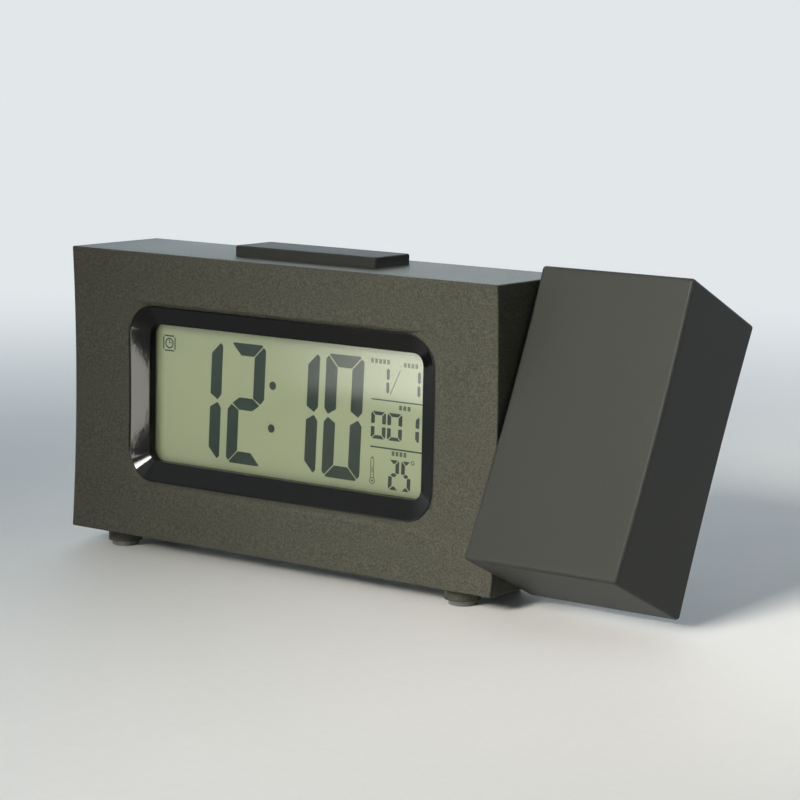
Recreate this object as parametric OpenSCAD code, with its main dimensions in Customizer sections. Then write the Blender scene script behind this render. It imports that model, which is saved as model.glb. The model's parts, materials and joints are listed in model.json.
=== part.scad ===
// Projection alarm clock: a low box with a recessed liquid-crystal display, a snooze bar on top,
// and a projector arm that tilts on a hollow pivot at the right-hand end.
// Millimetres. The origin is on the table under the middle of the whole object, +Z up, front at -Y.

/* [Body] */
// Width of the body, without the projector arm
body_w = 144; // [138:1:180]
// Height of the body, without its feet
body_h = 80; // [77:1:100]
// Depth of the body at its top and bottom edges
body_d = 36; // [35:0.5:50]
// How far the front face is hollowed at mid height
front_dish = 1.45; // [0.6:0.05:2]
// How far the rear face is hollowed at mid height
rear_dish = 1; // [0.4:0.1:1.6]
// Thickness of the housing walls
wall = 2.2; // [1.8:0.1:2.8]

/* [Window] */
// Width of the clear window inside the bezel
window_w = 93.2; // [80:0.2:98]
// Height of the clear window inside the bezel
window_h = 38.6; // [34:0.2:42]
// Height of the window's centre above the middle of the body
window_lift = 0.65; // [0:0.05:2]
// Offset of the window to the right of the body's middle
window_x = 0.5; // [0:0.1:1.5]
// Width of the glossy sloping band round the window
bezel_band = 5.4; // [4:0.1:6]
// Depth of the slope from the bezel's rim to the edge of the window
bezel_fall = 2.25; // [1.5:0.05:3]
// Corner radius of the window
window_r = 3.2; // [2:0.2:5]
// How far the bezel's hidden flange stands out behind the front wall
bezel_flange = 2; // [1.5:0.1:3]
// Depth of the straight wall between the slope and the lens
lens_setback = 2.5; // [0.6:0.1:2.8]
// Thickness of the clear lens
lens_t = 1; // [0.8:0.1:1.5]

/* [Display stack] */
// Thickness of each glass plate of the display
glass_t = 1.4; // [1.1:0.1:1.8]
// How far the glass reaches past the window at the sides
glass_lap = 3.7; // [3:0.1:4.2]
// Width of the contact ledge along the bottom of the front glass
ledge = 4; // [3:0.2:4.2]
// Thickness of the light guide
guide_t = 3.4; // [2:0.1:4]
// Thickness of the white reflector sheet
reflector_t = 0.3; // [0.2:0.1:0.5]
// Thickness of the main circuit board
board_t = 1.6; // [1:0.1:2]

/* [Snooze bar] */
// Width of the snooze bar
snooze_w = 48; // [36:1:54]
// Depth of the snooze bar, front to back
snooze_d = 15.8; // [10:0.2:16]
// Height of the snooze bar above the top of the body
snooze_proud = 2.9; // [1.5:0.1:4]
// Offset of the snooze bar to the right of the body's middle
snooze_x = 2; // [-4:0.5:4]
// Distance of the snooze bar's centre behind the body's front edge
snooze_y = 18.9; // [17.6:0.1:19.2]
// Travel of the snooze bar
snooze_travel = 0.8; // [0.4:0.1:1]

/* [Feet] */
// Height of the feet under the body
foot_h = 4.7; // [3.5:0.1:8]
// Diameter of the moulded foot bosses
foot_d = 9.6; // [8.6:0.2:12]
// Diameter of the soft foot pads
pad_d = 7.5; // [5:0.1:8]
// Height of the foot pads below their bosses
pad_proud = 1.5; // [0.8:0.1:2]
// Distance of the foot centres from the ends of the body
foot_inset_x = 13.7; // [8:0.1:24]
// Distance of the foot centres from the front and rear edges
foot_inset_y = 7.6; // [6:0.1:10]

/* [Projector arm] */
// Width of the projector arm
arm_w = 44.5; // [42:0.5:52]
// Length of the projector arm
arm_l = 78.5; // [76.5:0.5:80]
// Depth of the projector arm at its ends
arm_d = 35; // [34.5:0.5:38]
// How far the arm's front face is hollowed
arm_front_dish = 1.3; // [0.4:0.1:1.4]
// How far the arm's rear face is hollowed
arm_rear_dish = 1; // [0.4:0.1:1.1]
// Thickness of the arm's walls
arm_wall = 2; // [1.6:0.1:2.1]
// Gap between the body and the arm
arm_gap = 1; // [0.6:0.1:2]
// Tilt of the arm's top end to the rear of upright, at rest
arm_tilt = 25; // [0:1:60]
// Swing of the arm each way from upright
arm_swing = 90; // [60:5:95]
// Height of the pivot above the middle of the body
pivot_lift = 1; // [0:0.1:2]

/* [Pivot] */
// Outer diameter of the hollow pivot tube
pivot_d = 12; // [11:0.1:14]
// Bore of the pivot tube, where the leads pass
pivot_bore = 6; // [4:0.1:6.4]
// Length of the bearing boss inside the body
bearing_l = 3; // [2:0.1:4]
// Thickness of the friction washer
washer_t = 0.5; // [0.3:0.1:0.8]
// Thickness of the pivot retainer
retainer_t = 2; // [1.6:0.1:2.4]

/* [Projector] */
// Outer diameter of the focus ring
ring_d = 17; // [16:0.2:18]
// How far the focus ring stands out of the arm's top end
ring_proud = 1; // [0.5:0.1:2]
// Outer diameter of the lens barrel
barrel_d = 13; // [12:0.1:13.4]
// Diameter of the projection lens
optic_d = 10.4; // [9.6:0.1:10.8]
// Lens barrel travel each way from rest
focus_travel = 1.5; // [0.5:0.1:2]

/* [Batteries] */
// Diameter of one AAA cell
cell_d = 10.5; // [10.2:0.1:10.7]
// Length of one AAA cell
cell_l = 44.5; // [43.5:0.1:45]
// Number of cells
cell_count = 3; // [2:1:3]
// Length left for the contact spring of each cell
spring_room = 4.7; // [3:0.1:6]

/* [Keys] */
// Width of a rear key
key_w = 9; // [6:0.5:10]
// Height of a rear key
key_h = 5; // [3:0.5:6]
// Distance from key to key
key_pitch = 15; // [14.5:0.5:16]
// How far the keys stand out past the rear edge line of the body
key_proud = 0.4; // [0:0.1:1]
// Travel of a key
key_travel = 0.7; // [0.3:0.1:0.8]
// Travel of the alarm slide
alarm_travel = 3; // [2:0.5:3.5]

/* [Fits] */
// Gap between parts that are fastened together
fit = 0.1; // [0.05:0.05:0.2]
// Gap round parts that slide or press through a wall
slide_fit = 0.2; // [0.15:0.05:0.3]
// Radial running clearance of turning and screwed parts
run_fit = 0.05; // [0.03:0.01:0.08]

/* [Hidden] */

$fn = 48;
dish_steps = 24; // strips that a hollowed face is made of
eps = 0.02;      // overshoot of a cut past the face it opens
far = 500;       // overshoot of a cut that has to clear everything

// Frame: the body's own frame has x = 0 at its middle, y = 0 at its front edges, z = 0 at its
// bottom. The arm's own frame has its origin where the pivot axis meets the arm's inner face.
total_w = body_w + arm_gap + arm_w;
body_x = (body_w - total_w) / 2;
pivot_y = body_d / 2;
pivot_z = body_h / 2 + pivot_lift;
arm_x = body_w / 2 + arm_gap;

// Housing
body_corner = 0.5;
front_in = front_dish + wall;              // inner face of the front wall
rear_in = body_d - rear_dish - wall;       // inner face of the rear cover
side_in = body_w / 2 - wall;               // inner face of the end walls
top_in = body_h - wall;                    // inner face of the top wall
post_d = 7;
post_inset = 6.7;
case_head_d = 5;
case_head_h = 1.6;
case_shank_d = 2.6;
case_shank_l = 10;
case_seat_y = rear_in + 0.9;

// Window and display stack, from the front
window_z = body_h / 2 + window_lift;
bezel_rim = 0.3;
bezel_w = window_w + 2 * bezel_band;
bezel_h = window_h + 2 * bezel_band;
bezel_r = window_r + bezel_band;
frame_w = bezel_w + 2 * bezel_flange;
frame_h = bezel_h + 2 * bezel_flange;
frame_r = 3;
lip_y = front_dish + bezel_fall;
lens_y = lip_y + lens_setback;
lens_lap = 2.5;
frame_y = lens_y + lens_t;
glass_y = frame_y + fit;
rear_glass_y = glass_y + glass_t;
guide_y = rear_glass_y + glass_t + fit;
reflector_y = guide_y + guide_t;
board_y = reflector_y + reflector_t;
board_rear = board_y + board_t;
glass_x = window_w / 2 + glass_lap;
glass_z = window_h / 2 + 1;
ledge_z = glass_z + ledge;
guide_x = window_w / 2 + 1.7;
guide_z = window_h / 2 + 0.9;
zebra_t = 2.4;
zebra_x = glass_x - 6;
zebra_z = glass_z + ledge / 2;
led_w = 1.6;
led_h = 3;
led_spread = 9;
led_deep = 2.9;
board_post_d = 5.6;
board_post_x = frame_w / 2 + window_x + board_post_d / 2 + 1.3;
board_post_z = bezel_h / 2 + 0.8;
board_half_w = board_post_x + 3.2;
board_half_h = frame_h / 2 + 2.8;
board_top = window_z + board_half_h;

// Small screws, all alike
head_d = 3.8;
head_h = 1.4;
shank_d = 1.9;
shank_l = 6;
slot_w = 0.6;
slot_deep = 0.7;

// Snooze bar and what carries it
snooze_flange = 2;
snooze_flange_t = 1.4;
snooze_skin = 1.6;
snooze_r = 1;
snooze_flange_top = top_in - fit;
snooze_flange_z = snooze_flange_top - snooze_flange_t;
cradle_t = 1.6;
cradle_gap = 0.4;
cradle_z = board_top + cradle_gap;
cradle_top = cradle_z + cradle_t;
cradle_d = 12;
cradle_post_d = 5;
cradle_post_x = snooze_w / 2 + snooze_flange + cradle_post_d / 2 + 2.5;
cradle_half_w = cradle_post_x + cradle_post_d / 2 + 0.5;
switch_w = 6;
switch_d = 5;
switch_y = board_rear + switch_d / 2;
plunger_d = 3.4;
plunger_reach = 1.6;                       // plunger above its switch
plunger_sunk = 2.1;                        // plunger inside its switch
switch_slack = 0.4;                        // room left under a plunger that is pressed home
stem_z = board_top + plunger_reach;
spring_x = 19;
spring_d = 4;
spring_wire = 0.5;
spring_turns = 4;

// Batteries: the tray is part of the rear cover
spring_coil_d = 6;
plate_size = 8;
cell_pitch = cell_d + 0.5;
tray_skin = 1.3;
plate_t = 0.4;
tray_half_w = (cell_l + spring_room + 2 * plate_t) / 2;
tray_z = 7.8;
tray_h = cell_pitch * cell_count;
door_lap = 1.2;
door_skin = 1.8;
door_in = body_d - rear_dish - door_skin;
cell_y = door_in - 0.35 - cell_d / 2;
tray_floor = cell_y - cell_d / 2 - 0.15;
door_top = tray_z + tray_h + door_lap;
door_bottom = tray_z - door_lap + 0.2;
door_half_w = tray_half_w + door_lap;
hook_x = 15;
hook_w = 6;
hook_t = 1.2;
hook_y = rear_in - 0.2 - hook_t;
hook_low = tray_z + tray_h - 1.3;
hook_top = tray_z + tray_h + 2.4;
door_edge_r = door_skin / 2 - fit / 2;      // round top edge, which the door swings about
door_pivot_y = door_in + door_skin / 2;
door_pivot_z = door_top - door_edge_r;
tongue_x = 4;
tongue_gap = 0.4;
tongue_t = 0.8;
grip_w = 7;
tab_w = 3;
tab_reach = 1.5;
nub_d = 3.8;
nub_l = 0.8;

// Keys, alarm slide and their board, carried on the rear cover
key_z = body_h - 18.5;
key_flange = 1.25;
key_flange_t = 1;
key_flange_out = rear_in - fit;
key_flange_in = key_flange_out - key_flange_t;
key_switch_h = 3.8;
key_board_t = 1.2;
key_standoff = key_flange_t + fit + 1.1 + key_switch_h;
key_board_rear = rear_in - key_standoff;
key_board_y = key_board_rear - key_board_t;
key_first = -2.5 * key_pitch;
alarm_x = 25;
alarm_knob_w = 4;
alarm_knob_h = 3;
alarm_switch_w = 9;
alarm_switch_d = 3.6;
peg_w = 1.5;
peg_h = 2;
peg_sunk = 1;
key_board_rim = 4.5;                       // board left round the switches and screws
standoff_d = 4.6;
standoff_z = key_z - 6.3;
standoffs = [-30, 0, 25];

// Parts on the main board's rear face
blob_x = -18;
blob_z = 52;
blob_d = 13;
blob_h = 1.8;
crystal_d = 3;
crystal_l = 8;
crystal_leg = 0.6;
crystal_x = blob_x + blob_d / 2 + 5;
crystal_bend = 1;                          // legs run this far below the can before the board
leg_hole_d = crystal_leg + 2 * fit;
chip_pitch = 4;
bead_out = 6;
bead_d = 2.4;

// Sound and temperature, at the left of the battery tray
buzzer_x = -48;
buzzer_z = 26;
buzzer_d = 20;
buzzer_t = 5;
buzzer_rim = 1.5;
sound_hole_d = 2;
sound_ring = 5;
vent_x = -56;
vent_w = 12;
vent_h = 1.5;
vent_pitch = 4;
vent_count = 4;
thermistor_z = key_z - 3;                  // behind the vents

// Feet
foot_boss_h = foot_h - pad_proud;
pad_seat = 0.8;

// Pivot
bearing_d = pivot_d + 6;
bearing_x = side_in - bearing_l;
washer_x = bearing_x - run_fit - washer_t;
retainer_x = washer_x - run_fit;           // right-hand face of the retainer and tube end
retainer_d = pivot_d + 5;
shoulder_d = pivot_d + 4;
stop_in = retainer_d / 2 + 1;
stop_out = retainer_d / 2 + 3.5;
stop_w = 3;
stop_margin = 1;
stop_angle = arm_swing + 2 * asin(stop_w / 2 / stop_in) + stop_margin;
tube_screw_d = 1.5;
tube_screw_l = 4.5;
tube_screw_head_d = 2.6;
tube_screw_head_h = 1;
tube_screw_r = (pivot_d + pivot_bore) / 4;
board_notch_x = retainer_x - retainer_t - tube_screw_head_h - 0.6;
board_notch = stop_out + 0.6;              // half height of the board's notch round the pivot

// Arm
arm_front_in = -arm_d / 2 + arm_front_dish + arm_wall;
arm_rear_in = arm_d / 2 - arm_rear_dish - arm_wall;
arm_end_in = arm_l / 2 - arm_wall;
arm_side_in = arm_w - arm_wall;
arm_cover_t = 2.4;
arm_post_d = 4.6;
arm_post_y = [arm_front_in + arm_post_d / 2 - 0.1, arm_rear_in - arm_post_d / 2 + 0.1];
arm_post_z = [-arm_end_in + 4, arm_end_in - 10];
arm_head_drop = 1.4;
arm_corner = 1;

// Projector, on its own axis along the arm
optics_x = arm_w / 2 + 0.75;
housing_d = barrel_d + 4;
housing_bottom = -2;
flange_up = 2.1;
ring_flange_d = ring_d + 3;
ring_flange_top = arm_end_in - fit;
ring_flange_z = ring_flange_top - flange_up;
housing_top = ring_flange_z - fit;
ring_top = arm_l / 2 + ring_proud;
ring_grips = 24;
ring_grip_d = 1.2;
barrel_l = 15.5;
barrel_top = ring_top - focus_travel - 1.2;
barrel_z = barrel_top - barrel_l;
optic_z = barrel_top - 4.5;
optic_edge = 1.2;
optic_bulge = 1;
optic_rim = 0.9;
key_rib_w = 2;
key_rib_l = 8;
key_rib_out = barrel_d / 2 + 1.1;
tunnel_d = optic_d - 2 * optic_rim - 0.2;
condenser_z = 7.4;
condenser_d = 9.2;
condenser_t = 1.6;
condenser_bulge = 1.8;
image_z = 13;
image_t = 1.2;
image_w = 11;
ribbon_w = 5;
ribbon_t = 0.3;
ribbon_gap = 0.3;
ear_z = 8.5;
ear_h = 7;
ear_t = 2;
ear_y = 11;
ear_boss_d = 5;
led_board_t = 1.2;
led_board_x = 20;
led_d = 5;
led_rim_d = 5.8;
led_l = 7;
stake_d = 1.6;
stake_y = 6.9;
stake_head = 0.6;

// Leads
lead_meet = -6;                            // where the two pivot leads meet, in the arm's frame
pivot_lead_d = 2.4;
lead_bend = 1.6;
pivot_lead_x = board_half_w - 9.5;
wire_d = 1;
wire_bend = 1;
lead_rise = 12;
lead_drop_x = 8;
key_lead_x = 12;
key_lead_pitch = 1.6;
key_lead_drop = 8;

// ---- Placing and basic shapes ----

module in_body() { translate([body_x, -body_d / 2, foot_h]) children(); }

module in_arm() {
  translate([body_x + arm_x, -body_d / 2 + pivot_y, foot_h + pivot_z])
    rotate([-arm_tilt, 0, 0]) children();
}

module block(low, high) { translate(low) cube(high - low); }

module rod_x(x0, x1, d) { translate([x0, 0, 0]) rotate([0, 90, 0]) cylinder(h = x1 - x0, d = d); }

module rod_y(y0, y1, d) { translate([0, y0, 0]) rotate([-90, 0, 0]) cylinder(h = y1 - y0, d = d); }

module rod_z(z0, z1, d) { translate([0, 0, z0]) cylinder(h = z1 - z0, d = d); }

// A flat outline in x and z, given thickness from y0 to y1
module slab(y0, y1) { translate([0, y1, 0]) rotate([90, 0, 0]) linear_extrude(y1 - y0) children(); }

module rounded(w, h, r) {
  square([w - 2 * r, h], center = true);
  square([w, h - 2 * r], center = true);
  for (sx = [-1, 1], sy = [-1, 1])
    translate([sx * (w / 2 - r), sy * (h / 2 - r)]) circle(r = r);
}

module capsule(w, h) {
  square([w - h, h], center = true);
  for (sx = [-1, 1]) translate([sx * (w - h) / 2, 0]) circle(d = h);
}

// Depth of a hollowed face at a share t of its height
function dish(sag, t) = sag * (1 - pow(2 * t - 1, 2));

// Side outline of a box whose front and rear faces are hollowed, from y = 0 and z = 0
module hollowed_side(deep, high, front_sag, rear_sag, corner) {
  hollow = [for (i = [0:dish_steps]) [dish(front_sag, i / dish_steps), high * i / dish_steps]];
  back = [for (i = [dish_steps:-1:0])
    [deep - dish(rear_sag, i / dish_steps), high * i / dish_steps]];
  intersection() {
    translate([deep / 2, high / 2]) rounded(deep, high, corner);
    polygon(concat(back, hollow));
  }
}

module body_block(half_w) {
  translate([-half_w, 0, 0]) rotate([90, 0, 90]) linear_extrude(2 * half_w)
    hollowed_side(body_d, body_h, front_dish, rear_dish, body_corner);
}

// Screw with its head on z = 0 and its shank below
module screw(d_head, h_head, d_shank, l_shank) {
  difference() {
    union() {
      rod_z(0, h_head, d_head);
      rod_z(-l_shank, eps, d_shank);
    }
    for (turn = [0, 90]) rotate(turn)
      block([-d_head / 3, -slot_w / 2, h_head - slot_deep], [d_head / 3, slot_w / 2, h_head + 1]);
  }
}

module small_screw() { screw(head_d, head_h, shank_d, shank_l); }

// A wire with round bends through points whose legs turn at right angles
module wire_run(points, d, bend) {
  last = len(points) - 1;
  dirs = [for (i = [0:last - 1]) (points[i + 1] - points[i]) / norm(points[i + 1] - points[i])];
  for (i = [0:last - 1]) {
    from = points[i] + (i == 0 ? 0 : bend) * dirs[i];
    to = points[i + 1] - (i == last - 1 ? 0 : bend) * dirs[i];
    leg(from, to - from, d);
  }
  for (i = [1:last - 1]) elbow(points[i], dirs[i - 1], dirs[i], d, bend);
}

module leg(from, span, d) {
  translate(from)
    rotate([0, acos(span[2] / norm(span)), atan2(span[1], span[0])])
      cylinder(h = norm(span), d = d);
}

module elbow(corner, u, v, d, bend) {
  w = cross(u, v);
  c = corner - bend * u + bend * v;
  multmatrix([[-v[0], u[0], w[0], c[0]], [-v[1], u[1], w[1], c[1]], [-v[2], u[2], w[2], c[2]]])
    rotate_extrude(angle = 90) translate([bend, 0]) circle(d = d);
}

// Coil spring standing on z = 0, swept as rings of points along a helix
module coil(d, wire, high, turns) {
  sides = 8;
  steps = 12 * turns;
  r = (d - wire) / 2;
  rise = high - wire;
  ring = [for (i = [0:steps]) for (k = [0:sides - 1])
    let (a = 360 * turns * i / steps, b = 360 * k / sides, q = r + wire / 2 * cos(b))
      [q * cos(a), q * sin(a), wire / 2 + rise * i / steps + wire / 2 * sin(b)]];
  skin = [for (i = [0:steps - 1]) for (k = [0:sides - 1])
    let (n = (k + 1) % sides)
      [i * sides + k, (i + 1) * sides + k, (i + 1) * sides + n, i * sides + n]];
  start = [for (k = [0:sides - 1]) k];
  end = [for (k = [sides - 1:-1:0]) steps * sides + k];
  polyhedron(points = ring, faces = concat(skin, [start, end]), convexity = 6);
}

// Shallow spherical cap on z = 0, bulging to +z
module cap(base_d, bulge) {
  r = (base_d * base_d / 4 + bulge * bulge) / (2 * bulge);
  intersection() {
    translate([0, 0, bulge - r]) sphere(r = r, $fn = 96);
    rod_z(0, bulge + 1, base_d);
  }
}

// ---- Housing ----

module at_case_posts() {
  for (sx = [-1, 1], z = [post_inset + 1.3, body_h - post_inset - 1.3])
    translate([sx * (body_w / 2 - post_inset), 0, z]) children();
}

module at_window() { translate([window_x, 0, window_z]) children(); }

module at_board_posts() {
  for (sx = [-1, 1], sz = [-1, 1])
    translate([sx * board_post_x, 0, window_z + sz * board_post_z]) children();
}

module at_cradle_posts() {
  for (sx = [-1, 1]) translate([snooze_x + sx * cradle_post_x, snooze_y, 0]) children();
}

module at_feet() {
  for (sx = [-1, 1], y = [foot_inset_y, body_d - foot_inset_y])
    translate([sx * (body_w / 2 - foot_inset_x), y, 0]) children();
}

module at_pivot() { translate([0, pivot_y, pivot_z]) children(); }

module stop_blocks() {
  for (side = [-1, 1]) at_pivot() rotate([side * stop_angle, 0, 0])
    block([retainer_x - retainer_t, -stop_w / 2, -stop_out],
      [side_in + eps, stop_w / 2, -stop_in]);
}

module front_shell() {
  color([0.16, 0.165, 0.155]) in_body() difference() {
    union() {
      difference() {
        body_block(body_w / 2);
        block([-side_in, front_in, wall], [side_in, far, top_in]);
      }
      at_case_posts() rod_y(front_in - eps, rear_in, post_d);
      at_board_posts() rod_y(front_in - eps, board_y, board_post_d);
      at_cradle_posts() rod_z(cradle_top, top_in + eps, cradle_post_d);
      at_feet() rod_z(-foot_boss_h, eps, foot_d);
      at_pivot() rod_x(bearing_x, side_in + eps, bearing_d);
      stop_blocks();
    }
    at_window() slab(-far, front_in + eps) rounded(bezel_w, bezel_h, bezel_r);
    translate([snooze_x, snooze_y, top_in - eps]) linear_extrude(far)
      rounded(snooze_w + 2 * slide_fit, snooze_d + 2 * slide_fit, snooze_r + slide_fit);
    at_pivot() rod_x(bearing_x - eps, far, pivot_d + 2 * run_fit);
    at_case_posts() rod_y(rear_in - case_shank_l, far, case_shank_d + 2 * run_fit);
    at_board_posts() rod_y(board_rear - shank_l - 1, far, shank_d + 2 * run_fit);
    at_cradle_posts() rod_z(cradle_top - eps, cradle_z + shank_l + 0.5, shank_d + 2 * run_fit);
    at_feet() rod_z(-far, -foot_boss_h + pad_seat, pad_d + 2 * fit);
  }
}

module foot_pads() {
  color([0.62, 0.63, 0.62]) in_body() at_feet()
    rod_z(-foot_h, -foot_boss_h + pad_seat, pad_d);
}

module case_screws() {
  color("dimgray") in_body() at_case_posts()
    translate([0, case_seat_y, 0]) rotate([-90, 0, 0])
      screw(case_head_d, case_head_h, case_shank_d, case_shank_l);
}

// ---- Rear cover with the battery tray ----

module at_keys() {
  for (i = [0:3]) translate([key_first + i * key_pitch, 0, key_z]) children();
}

module at_standoffs() { for (x = standoffs) translate([x, 0, standoff_z]) children(); }

module at_hooks() { for (sx = [-1, 1]) translate([sx * hook_x, 0, 0]) children(); }

// Each cell's middle, with alternate cells turned end for end
module at_cells() {
  for (i = [0:cell_count - 1])
    translate([0, cell_y, tray_z + cell_pitch * (i + 0.5)]) mirror([i % 2, 0, 0]) children();
}

module battery_tray() {
  difference() {
    block([-tray_half_w - tray_skin, tray_floor - tray_skin, tray_z - tray_skin],
      [tray_half_w + tray_skin, rear_in + eps, tray_z + tray_h + tray_skin]);
    block([-tray_half_w, tray_floor, tray_z], [tray_half_w, far, tray_z + tray_h]);
    at_hooks() block([-hook_w / 2 - slide_fit, hook_y - 1, hook_low - 0.6],
      [hook_w / 2 + slide_fit, far, tray_z + tray_h + far]);
    at_tabs() block([-fit, tray_floor - tray_skin - eps, -tab_w / 2 - fit],
      [plate_t + fit, tray_floor + eps, tab_w / 2 + fit]);
  }
}

module rear_cover() {
  color([0.15, 0.155, 0.15]) in_body() difference() {
    union() {
      difference() {
        body_block(side_in - slide_fit);
        block([-far, -far, -far], [far, rear_in, far]);
        block([-far, -far, -far], [far, far, wall + slide_fit]);
        block([-far, -far, top_in - slide_fit], [far, far, far]);
        block([-tray_half_w, -far, tray_z], [tray_half_w, far, tray_z + tray_h]);
        block([-door_half_w - slide_fit, door_in - slide_fit, door_bottom - slide_fit],
          [door_half_w + slide_fit, far, door_top + slide_fit]);
      }
      battery_tray();
      at_standoffs() rod_y(key_board_rear, rear_in + eps, standoff_d);
      translate([buzzer_x, 0, buzzer_z])
        rod_y(rear_in - buzzer_t + 1, rear_in + eps, buzzer_d + 2 * (buzzer_rim + fit));
    }
    translate([buzzer_x, 0, buzzer_z]) {
      rod_y(-far, rear_in, buzzer_d + 2 * fit);
      rod_y(0, far, sound_hole_d);
      for (a = [0:60:300]) rotate([0, a, 0]) translate([sound_ring, 0, 0])
        rod_y(0, far, sound_hole_d);
    }
    for (i = [0:vent_count - 1])
      translate([vent_x, 0, key_z - 9 + i * vent_pitch]) slab(0, far) capsule(vent_w, vent_h);
    at_keys() slab(0, far) capsule(key_w + 2 * slide_fit, key_h + 2 * slide_fit);
    translate([alarm_x, 0, key_z]) slab(0, far)
      square([alarm_knob_w + alarm_travel + 2 * slide_fit, alarm_knob_h + 2 * slide_fit],
        center = true);
    at_case_posts() {
      rod_y(0, far, case_shank_d + 2 * fit);
      rod_y(case_seat_y, far, case_head_d + 2 * fit);
    }
    at_standoffs() rod_y(0, key_board_y + shank_l + 0.5, shank_d + 2 * run_fit);
    translate([0, 0, door_bottom]) rod_y(door_in + 0.6, far, grip_w);
  }
}

// Where the two end contacts' solder tabs pass through the tray's floor
module at_tabs() {
  last = cell_count - 1;
  translate([tray_half_w - plate_t, 0, tray_z + cell_pitch / 2]) children();
  mirror([(last + 1) % 2, 0, 0])
    translate([tray_half_w - plate_t, 0, tray_z + cell_pitch * (last + 0.5)]) children();
}

module battery_cells() {
  positive = tray_half_w - plate_t;
  color("slategray") in_body() at_cells() {
    rod_x(positive - cell_l, positive - nub_l, cell_d);
    rod_x(positive - nub_l - eps, positive, nub_d);
  }
}

module battery_springs() {
  color("silver") in_body() at_cells() translate([plate_t - tray_half_w, 0, 0])
    rotate([0, 90, 0]) coil(spring_coil_d, spring_wire, spring_room, spring_turns);
}

// One plate joins each pair of neighbouring cells; the chain's two ends have plates with tabs
module battery_plates() {
  half = plate_size / 2;
  outer = tray_half_w;
  inner = tray_half_w - plate_t;
  color("silver") in_body() {
    for (i = [0:cell_count - 2]) mirror([(i + 1) % 2, 0, 0])
      translate([0, cell_y, tray_z + cell_pitch * (i + 0.5)])
        block([inner, -half, -half], [outer, half, cell_pitch + half]);
    at_tabs() {
      block([0, cell_y - half, -half], [plate_t, cell_y + half, half]);
      block([0, tray_floor - tray_skin - tab_reach, -tab_w / 2],
        [plate_t, cell_y, tab_w / 2]);
    }
  }
}

module battery_door() {
  color([0.15, 0.155, 0.15]) in_body() {
    intersection() {
      body_block(door_half_w);
      block([-far, door_in, door_bottom], [far, far, door_pivot_z]);
    }
    translate([0, door_pivot_y, door_pivot_z]) rod_x(-door_half_w, door_half_w, 2 * door_edge_r);
    at_hooks() {
      block([-hook_w / 2, hook_y, hook_low], [hook_w / 2, hook_y + hook_t, hook_top]);
      block([-hook_w / 2, hook_y, hook_low], [hook_w / 2, door_in + eps, tray_z + tray_h - 0.2]);
    }
    translate([0, 0, tray_z + tongue_gap])
      block([-tongue_x, hook_y, 0], [tongue_x, door_in + eps, tongue_t]);
  }
}

// ---- Display ----

module display_bezel() {
  color([0.05, 0.05, 0.055]) in_body() difference() {
    union() {
      intersection() {
        body_block(body_w / 2);
        at_window() slab(-eps, front_in + eps)
          rounded(bezel_w - 2 * fit, bezel_h - 2 * fit, bezel_r - fit);
      }
      at_window() slab(front_in, frame_y) rounded(frame_w, frame_h, frame_r);
    }
    at_window() {
      slab(-far, front_dish) bezel_mouth();
      hull() {
        slab(front_dish - eps, front_dish) bezel_mouth();
        slab(lip_y, lip_y + eps) window_shape($fn = 32);
      }
      slab(lip_y, far) window_shape();
      slab(lens_y, far) lens_shape(fit);
    }
  }
}

module bezel_mouth() {
  rounded(bezel_w - 2 * bezel_rim, bezel_h - 2 * bezel_rim, bezel_r - bezel_rim, $fn = 32);
}

module window_shape() { rounded(window_w, window_h, window_r); }

module lens_shape(gap) {
  grow = lens_lap + gap;
  rounded(window_w + 2 * grow, window_h + 2 * grow, window_r + grow);
}

module display_lens() {
  color([0.85, 0.88, 0.9, 0.25]) in_body() at_window()
    slab(lens_y, frame_y) lens_shape(0);
}

module stack_block(half_x, low_z, high_z, y0, y1) {
  at_window() block([-half_x, y0, low_z], [half_x, y1, high_z]);
}

module lcd_front_glass() {
  color([0.57, 0.59, 0.46]) in_body()
    stack_block(glass_x, -ledge_z, glass_z, glass_y, rear_glass_y);
}

module lcd_rear_glass() {
  color([0.6, 0.62, 0.5]) in_body()
    stack_block(glass_x, -glass_z, glass_z, rear_glass_y, rear_glass_y + glass_t);
}

module light_guide() {
  color([0.85, 0.87, 0.8]) in_body()
    stack_block(guide_x, -guide_z, guide_z, guide_y, reflector_y);
}

module reflector_sheet() {
  color("white") in_body() stack_block(guide_x, -guide_z, guide_z, reflector_y, board_y);
}

module backlight_leds() {
  color("white") in_body() for (sx = [-1, 1], sz = [-1, 1])
    at_window() translate([sx * (guide_x + fit + led_w / 2), 0, sz * led_spread])
      block([-led_w / 2, board_y - led_deep, -led_h / 2], [led_w / 2, board_y, led_h / 2]);
}

module lcd_frame() {
  color([0.12, 0.12, 0.12]) in_body() difference() {
    at_window() slab(frame_y, board_y) rounded(frame_w, frame_h, frame_r);
    stack_block(glass_x + fit, -ledge_z - fit, glass_z + fit, -far, far);
  }
}

module zebra_strip() {
  color("dimgray") in_body()
    stack_block(zebra_x, -zebra_z - zebra_t / 2, -zebra_z + zebra_t / 2, rear_glass_y, board_y);
}

// ---- Main circuit board ----

module main_board() {
  color("darkgreen") in_body() difference() {
    translate([0, 0, window_z])
      block([-board_half_w, board_y, -board_half_h], [board_half_w, board_rear, board_half_h]);
    at_board_posts() rod_y(-far, far, shank_d + 4 * fit);
    at_crystal_legs() rod_y(-far, far, leg_hole_d);
    at_thermistor_legs() rod_y(-far, far, leg_hole_d);
    at_pivot() block([board_notch_x, -far, -board_notch], [far, far, board_notch]);
  }
}

module board_screws() {
  color("silver") in_body() {
    at_board_posts() translate([0, board_rear, 0]) rotate([-90, 0, 0]) small_screw();
    at_cradle_posts() translate([0, 0, cradle_z]) rotate([180, 0, 0]) small_screw();
    at_standoffs() translate([0, key_board_y, 0]) rotate([90, 0, 0]) small_screw();
  }
}

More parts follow.
